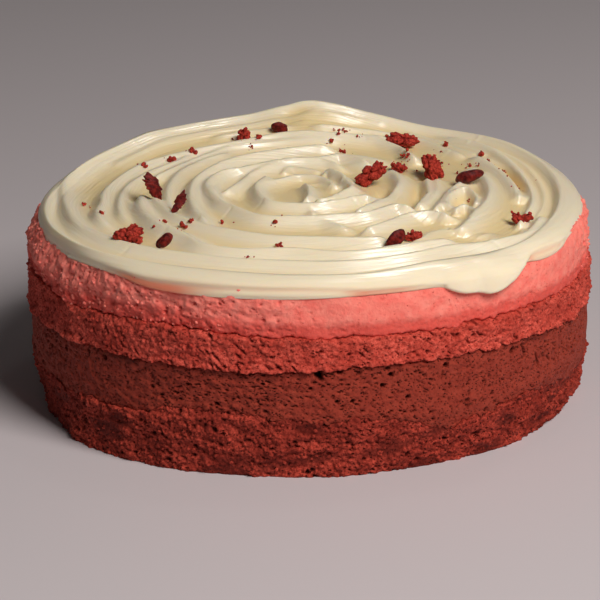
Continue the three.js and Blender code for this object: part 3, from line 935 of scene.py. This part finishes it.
# %% The finishes
# The third colour of each finish is its pore colour: painted shade for pores, bubbles and holes.
dark_sponge = crumb_finish("dark_sponge", (122, 37, 29), (216, 86, 68), (52, 13, 11), 0.9, 0.8, 0.45)
red_sponge = crumb_finish("red_sponge", (173, 54, 42), (238, 105, 88), (120, 32, 25), 0.9, 0.6, 0.42)
dark_mousse = mousse_finish("dark_mousse", (143, 53, 40), (161, 65, 49), (50, 13, 10), 0.9, 0.5, 0.47)
pink_mousse = mousse_finish(
    "pink_mousse", (249, 119, 106), (255, 146, 130), (210, 70, 60), 1.1, 0.35, 0.32
)
cream_finish = Finish("cream", 0.28, 0.5)
thin = cream_finish.attribute("thin")
over_mousse = cream_finish.ramp(thin, (0.3, light_of(238, 194, 156)), (0.9, light_of(228, 138, 108)))
# Painted shade: the cream is coloured darker and yellower in the valleys, standing in for their shade and
# the light bounced between their walls.
valley_shade = cream_finish.attribute("valley_shade")
deep = cream_finish.ramp(valley_shade, (0.35, light_of(241, 227, 198)), (1, light_of(238, 213, 160)))
cream_finish.colour(cream_finish.mix(thin, deep, over_mousse))
cream_finish.bump(cream_finish.streaks(1.1, 4), 0.2)
cream_finish.subsurface(0.5, 1.8, (1, 0.75, 0.4))
dried_fruit = Finish("dried_fruit", 0.55, 0.3)
skin = dried_fruit.noise(1.2, 4)
dried_fruit.colour(dried_fruit.ramp(skin, (0.35, light_of(64, 13, 12)), (0.65, light_of(124, 34, 28))))
dried_fruit.bump(dried_fruit.noise(0.9, 4), 0.4)
crumb = Finish("crumb", 0.9, 0.3)
grain = crumb.noise(0.9, 4, 0.7)
crumb.colour(crumb.ramp(grain, (0.36, light_of(112, 26, 22)), (0.62, light_of(196, 70, 56))))
crumb.bump(crumb.noise(0.6, 5), 0.5)

dress(sponge_base, dark_sponge)
dress(mousse_dark, dark_mousse)
dress(sponge_upper, red_sponge)
dress(mousse_pink, pink_mousse)
dress(cream, cream_finish)

# %% [markdown]
# ## Fruit and lumps on the cream
# The larger pieces have their size and place from the CAD. A copy of each solid is rounded by
# subdivision, and its points are moved from or to its middle. A lump of cake becomes a
# cluster of crumbs, dried fruit is shrunken and creased, and a flake of it is a thin leaf
# with a torn outline. Each is lowered until it just sinks into the cream.

# %% Break up the larger pieces
SINK = 0.25  # how deep a piece sinks into the cream
TOUCHING = 1 / 12  # the share of its points that lie in the cream


def rounded_copy(name, levels):
    bpy.ops.object.select_all(action="DESELECT")
    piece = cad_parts[name].copy()
    piece.data = piece.data.copy()
    piece.name = name + "_piece"
    bpy.context.collection.objects.link(piece)
    for key in [key for key in piece.keys() if key.startswith("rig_")]:
        del piece[key]
    bpy.context.view_layer.objects.active = piece
    piece.select_set(True)
    bpy.ops.object.mode_set(mode="EDIT")
    bpy.ops.mesh.select_all(action="SELECT")
    bpy.ops.mesh.remove_doubles(threshold=MM / 50)
    bpy.ops.object.mode_set(mode="OBJECT")
    divide = piece.modifiers.new("divide", "SUBSURF")
    divide.levels = divide.render_levels = levels
    bpy.ops.object.modifier_apply(modifier="divide")
    piece.data.shade_smooth()
    return piece


def settle(places):
    """Lowers or lifts a piece until it just sinks into the cream."""
    room = places[:, 2] - cream_height(places[:, :2])
    return places - [0, 0, np.quantile(room, TOUCHING) + SINK]


def cluster(offsets, count, spread, size, seed):
    """How far a cluster of balls, about 1 wide, reaches in the direction of each offset."""
    directions = offsets / np.linalg.norm(offsets, axis=1)[:, None]
    random = np.random.default_rng(seed)
    centres = random.normal(size=(count, 3))
    centres *= spread / np.linalg.norm(centres, axis=1)[:, None]
    reach = np.zeros(len(directions))
    for centre, radius in zip(centres, size * random.uniform(0.7, 1.3, count)):
        along = directions @ centre
        left = along**2 - centre @ centre + radius**2
        reach = np.maximum(reach, np.where(left > 0, along + np.sqrt(left.clip(0)), 0))
    return reach.clip(0.45)


def crumb_lump(offsets, seed):
    out = 1.12 * cluster(offsets, 40, 0.82, 0.33, seed)
    out *= 1 + 0.16 * crumbs(offsets, 0.7, seed + 1)
    return offsets * out[:, None]


def teardrop(offsets):
    """Narrows a piece towards the end that faces the front left."""
    along = offsets @ [math.cos(DROP_HEADING), math.sin(DROP_HEADING), 0]
    share = 1 + DROP_TAPER * along / np.abs(along).max()
    return offsets * share[:, None]


def dried_berry(offsets, seed):
    out = 1.04 * cluster(offsets, 10, 0.32, 0.74, seed)
    out -= 0.05 * np.abs(swells(offsets, (1.6, 1.6, 1.2), seed))
    return offsets * out[:, None]


def torn_leaf(offsets, seed):
    _, _, axes = np.linalg.svd(offsets, full_matrices=False)
    along, across, through = (offsets @ axes.T).T
    around_it = np.stack([along, across, 0 * along], axis=1)
    around_it /= np.linalg.norm(around_it, axis=1).clip(0.3)[:, None]
    torn = 1.1 + 0.28 * swells(around_it, 0.5, seed) + 0.24 * swells(around_it, 0.2, seed + 1)
    thin = 0.5 * through + 0.04 * along**2 + 0.2 * swells(offsets, 1.4, seed + 2)
    return np.stack([along * torn, across * torn, thin], axis=1) @ axes


# each piece's (shift, stretch, tilt) in millimetres, shares and degrees
ADJUST = {
    "crumb_lump_2": ((0.2, 4, 0.9), (1.2, 0.8, 0.9), 26),
    "crumb_lump_3": ((0, 2, 0.3), (0.85, 0.9, 1.4), 14),
    "crumb_lump_4": ((0, 2, 0), (1.1, 1, 1.05), -6),
    "crumb_lump_5": ((0.6, 5, -0.4), (0.9, 1.1, 1.1), 0),
    "dried_fruit_1": ((0.6, 0.5, -0.3), (1.15, 1, 0.95), 0),
    "dried_fruit_2": ((0, 0, 0.4), (1.35, 1, 0.85), 36),
    "dried_fruit_3": ((-1, 6, 0.4), (1.05, 0.95, 1), 6),
    "dried_fruit_4": ((0, 1, 0.2), (1.2, 1.1, 1.05), -10),
    "dried_flake_1": ((-0.4, 0, 0.6), (1.15, 1.15, 1.15), 0),
    "dried_flake_2": ((-0.8, 0, 0.4), (1.1, 1.1, 1.1), 0),
}
UNCHANGED = ((0, 0, 0), (1, 1, 1), 0)
DROP_HEADING = math.radians(60)
DROP_TAPER = 0.4
VEE = 0.45  # how much the ends of the V-shaped lump turn up
BENT_LUMP = "crumb_lump_5"
POINTED_FRUIT = "dried_fruit_4"


def break_up(name, seed):
    piece = rounded_copy(name, 4)
    places = points_of(piece)
    middle = places.mean(axis=0)
    shapes = {"crumb": crumb_lump, "dried_fruit": dried_berry, "dried_flake": torn_leaf}
    shape = next(shapes[kind] for kind in shapes if name.startswith(kind))
    shift, stretch, tilt = ADJUST.get(name, UNCHANGED)
    offsets = shape(places - middle, seed) * stretch
    if name == BENT_LUMP:
        offsets[:, 2] += VEE * np.abs(offsets[:, 0])
    if name == POINTED_FRUIT:
        offsets = teardrop(offsets)
    turned = np.array(Euler((0, -math.radians(tilt), 0)).to_matrix())
    settled = settle(middle + offsets @ turned.T + [*shift[:2], 0])
    move_points(piece, settled + [0, 0, shift[2]])
    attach(piece, "root")
    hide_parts(name)
    return piece


lumps = []
for seed, name in enumerate(sorted(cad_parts)):
    if name.startswith("dried"):
        dress(break_up(name, 100 + 10 * seed), dried_fruit)
    elif name.startswith("crumb"):
        lumps.append(break_up(name, 100 + 10 * seed))
        dress(lumps[-1], crumb)

# %% [markdown]
# ## Small crumbs
# A small ball is doubled again and again in edit mode, which is far quicker than copying
# objects. Then the points of each copy are roughened, turned, scaled and put in place.

# %% Crumbs by the hundred
# (angle, radius, size) of the crumbs that can be told apart on the cream
SMALL_CRUMBS = [
    (181, 69, 1.3), (197, 65, 1.5), (149, 60, 1.8), (139, 57.7, 2.2), (129, 57.7, 2.4),
    (226, 52.5, 2.3), (227, 50.5, 1.5), (220, 59, 1.1), (218, 53.6, 1.4), (230, 40.3, 1.5),
    (255, 37.5, 1.6), (262, 58, 1.7), (255, 67.4, 0.9), (108, 56.6, 1.4), (105, 60.7, 2.2),
    (111, 67, 0.8), (82, 65.8, 0.7), (80, 61.5, 1.7), (79, 66, 1.3), (82, 58, 1.7), (77, 52.5, 1.7),
    (74, 61.6, 0.9), (49, 68.7, 2.1), (47, 63.4, 0.7), (48, 61.4, 0.9), (40, 55.2, 1.4),
    (26, 52.7, 0.9), (31, 58.9, 0.8), (31, 60.5, 1.2), (28, 61.2, 1.2), (35, 68.1, 2), (29, 66, 0.9),
    (22, 66.5, 1.5), (16, 66.5, 1.4), (12, 66.6, 1.3), (9, 66.7, 1.1), (4, 66.8, 1), (39, 44.6, 0.7),
    (352, 49.7, 0.9), (53, 51.7, 2), (50, 50.3, 1.5),
]
GRAINS = 6  # each is a cluster of so many grains
STRAYS = 70  # single grains that lie near them
ON_A_LUMP = 16  # loose grains on each larger lump
CRUMB_ROUGH = 0.22


def crumb_cloud(name, count):
    """So many unit balls in one mesh, each in its own run of points."""
    bpy.ops.object.select_all(action="DESELECT")
    bpy.ops.mesh.primitive_ico_sphere_add(subdivisions=2, radius=MM)
    piece = bpy.context.object
    piece.name = name
    one = len(piece.data.vertices)
    bpy.ops.object.mode_set(mode="EDIT")
    for _ in range(math.ceil(math.log2(count))):
        bpy.ops.mesh.select_all(action="SELECT")
        bpy.ops.mesh.duplicate()
    bpy.ops.object.mode_set(mode="OBJECT")
    spare = bmesh.new()
    spare.from_mesh(piece.data)
    spare.verts.ensure_lookup_table()
    bmesh.ops.delete(spare, geom=spare.verts[count * one:], context="VERTS")
    spare.to_mesh(piece.data)
    spare.free()
    piece.data.shade_smooth()
    return piece, one


def random_turns(random, count):
    """Turning matrices that point every way, without mirroring."""
    turns, _ = np.linalg.qr(random.normal(size=(count, 3, 3)))
    return turns * np.linalg.det(turns)[:, None, None]


def crumble(name, spots, sizes, seed, bury):
    """Puts a crumb of each size at each spot, sunk by a share of its size along bury."""
    piece, one = crumb_cloud(name, len(spots))
    random = np.random.default_rng(seed)
    places = points_of(piece).reshape(len(spots), one, 3)
    shift = 37.0 * np.arange(len(spots))[:, None, None]
    rough = 1 + CRUMB_ROUGH * swells((places + shift).reshape(-1, 3), 0.6, seed)
    rough = rough.reshape(len(spots), one, 1)
    stretch = random.uniform(0.6, 1.2, (len(spots), 1, 3))
    places = np.einsum("nij,npj->npi", random_turns(random, len(spots)), places * rough * stretch)
    places = places * sizes[:, None, None] / 2 + spots[:, None] - (bury * sizes[:, None])[:, None]
    places[..., 2] = places[..., 2].clip(0)
    move_points(piece, places.reshape(-1, 3))
    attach(piece, "root")
    return piece


random = np.random.default_rng(7)
wanted = np.repeat(np.array(SMALL_CRUMBS, float), GRAINS, axis=0)
strays = wanted[random.integers(0, len(wanted), STRAYS)]
spots = ring_places(wanted[:, 0], wanted[:, 1], 0 * wanted[:, 2])
spots += wanted[:, 2:] * random.normal(0, 0.28, spots.shape)
lifts = np.abs(spots[:, 2])
sizes = wanted[:, 2] * random.uniform(0.35, 0.75, len(wanted))
stray_spots = ring_places(strays[:, 0], strays[:, 1], 0 * strays[:, 2])
spots = np.concatenate([spots, stray_spots + random.normal(0, 2.2, stray_spots.shape)])
lifts = np.concatenate([lifts, 0 * strays[:, 2]])
sizes = np.concatenate([sizes, random.uniform(0.25, 0.6, len(strays))])
spots[:, 2] = cream_height(spots[:, :2]) + lifts
for lump in lumps:
    places = points_of(lump)
    chosen = places[random.choice(len(places), ON_A_LUMP, replace=False)]
    spots = np.concatenate([spots, chosen])
    sizes = np.concatenate([sizes, random.uniform(0.6, 1.5, len(chosen))])
dress(crumble("crumbs_on_cream", spots, sizes, 3, np.array([[0, 0, -0.2]])), crumb)


SIDE_RADIUS = 79
CLEAR_OF_FLOOR = 0.5


def all_round(degrees, height):
    return np.ones(len(degrees))


def pink_share(degrees, height):
    """Pink crumbs lie where the mousse is torn, and not on the cream that hangs over it."""
    below = height < around(CREAM_EDGE, degrees) - 3
    open_end = np.abs(degrees - 187) < 18
    return smooth(2 * pink_tear(degrees) - 1) * np.maximum(below, open_end)


def crumbs_on_side(name, piece, count, seed, finish, sizes, share=all_round):
    """Scatters crumbs on the side of a layer, half sunk into it, more where share is high."""
    random = np.random.default_rng(seed)
    places = points_of(piece)
    degrees, radius, height = polar(places)
    outer = np.flatnonzero((radius > SIDE_RADIUS) & (height > CLEAR_OF_FLOOR))
    chance = share(degrees[outer], height[outer])
    chosen = places[random.choice(outer, count, replace=False, p=chance / chance.sum())]
    outward = chosen * [1, 1, 0] / np.hypot(chosen[:, 0], chosen[:, 1])[:, None]
    size = random.uniform(*sizes, count)
    dress(crumble(name, chosen, size, seed, 0.15 * outward), finish)


crumbs_on_side("crumbs_dark_sponge", sponge_base, 1100, 8, dark_sponge, (0.5, 1.7))
crumbs_on_side("crumbs_red_sponge", sponge_upper, 500, 9, red_sponge, (0.4, 1.2))
crumbs_on_side("crumbs_pink", mousse_pink, 450, 10, pink_mousse, (0.4, 1.4), pink_share)

# %% [markdown]
# ## The studio
# One soft light stands to the front right and well above, so that the left side falls into
# shade and the valleys show. It gives no glints: a small lamp high up at the back puts them
# on the crests. A weak sky fills the shadows, and the floor is plain and pale.

# %% Floor and light
FLOOR_SIZE = 6
bpy.ops.object.select_all(action="DESELECT")
bpy.ops.mesh.primitive_plane_add(size=FLOOR_SIZE)
floor = bpy.context.object
floor.name = "floor"
floor_finish = Finish("floor", 0.6, 0.3)
floor_finish.colour(light_of(205, 196, 198))
floor.data.materials.append(floor_finish.material)


LIGHT_DISTANCE = 1.5


def soft_light(name, azimuth, elevation, size, watts, colour):
    """A square light that looks at the cake from a direction in degrees, sizes in metres."""
    a, e = math.radians(azimuth), math.radians(elevation)
    away = (math.cos(a) * math.cos(e), math.sin(a) * math.cos(e), math.sin(e))
    bpy.ops.object.light_add(
        type="AREA",
        location=[LIGHT_DISTANCE * part for part in away],
        rotation=(0, math.radians(90 - elevation), a),
    )
    lamp = bpy.context.object
    lamp.name = name
    lamp.data.size = size
    lamp.data.energy = watts
    lamp.data.color = colour
    print(name, watts, "W")
    return lamp


soft_light("key_light", -54, 44, 0.65, 22, (1, 0.97, 0.94)).visible_glossy = False
soft_light("gloss_light", 52, 69, 0.12, 5, (1, 1, 1)).visible_diffuse = False
sky = bpy.data.worlds.new("sky")
sky.use_nodes = True
glow = sky.node_tree.nodes["Background"].inputs
glow["Color"].default_value = (1, 0.98, 0.95, 1)
glow["Strength"].default_value = 0.045
bpy.context.scene.world = sky

# %% [markdown]
# ## The camera
# The place, tilt and lens come from fitting the outlines of the cake to the photograph. The
# camera is about 0.9 metres away and looks down by 17 degrees through a long lens.

# %% Camera
CAMERA_PLACE = (-2.61, -889.57, 301.86)
CAMERA_DOWN = math.radians(17.14)
CAMERA_ROLL = math.radians(-0.65)
FOCAL_PIXELS = 3001.5
IMAGE_PIXELS = 600
SENSOR_WIDTH = 36

forward = Vector((0, math.cos(CAMERA_DOWN), -math.sin(CAMERA_DOWN)))
level_up = Vector((0, math.sin(CAMERA_DOWN), math.cos(CAMERA_DOWN)))
right = math.cos(CAMERA_ROLL) * Vector((1, 0, 0)) + math.sin(CAMERA_ROLL) * level_up
up = right.cross(forward)
turn = Matrix((right, up, -forward)).transposed().to_4x4()
bpy.ops.object.camera_add()
camera = bpy.context.object
camera.matrix_world = Matrix.Translation(Vector(CAMERA_PLACE) * MM) @ turn
camera.data.sensor_width = SENSOR_WIDTH
camera.data.lens = FOCAL_PIXELS / IMAGE_PIXELS * SENSOR_WIDTH
print("lens", camera.data.lens, "mm")
bpy.context.scene.camera = camera
bpy.context.scene.view_settings.view_transform = "Standard"
